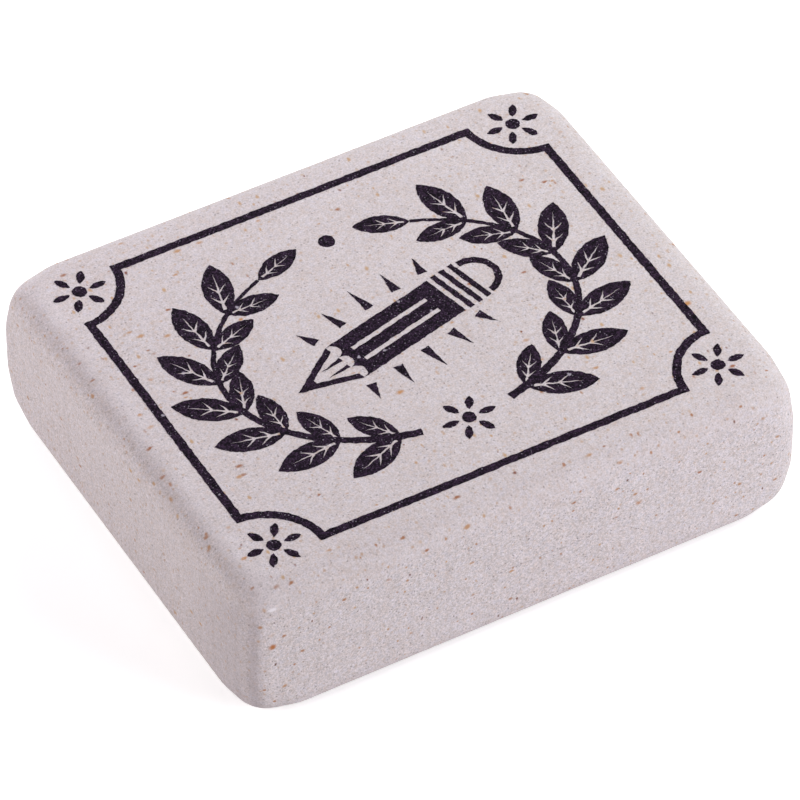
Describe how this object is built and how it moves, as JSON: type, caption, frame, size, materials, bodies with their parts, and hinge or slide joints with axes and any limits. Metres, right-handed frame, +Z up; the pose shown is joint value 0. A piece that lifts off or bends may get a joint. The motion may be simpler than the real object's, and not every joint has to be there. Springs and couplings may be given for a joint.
{
  "type": "rubber eraser",
  "caption": "Speckled natural rubber eraser block with worn, rounded edges and corners and a stamped leaf wreath and pencil ornament on its top face.",
  "frame": {"origin": "middle of the flat bottom face that the block rests on", "axes": "+X along the block's length, +Y across its width, +Z up through its thickness to the printed face"},
  "size_m": [0.04, 0.0338, 0.0113],
  "materials": {
    "rubber": "matte, sandy, off-white with small tan specks",
    "ink": "matte stamped ink with pinholes"
  },
  "bodies": {
    "root": {"eraser_block": "rubber", "printed_design": "ink"}
  },
  "joints": []
}
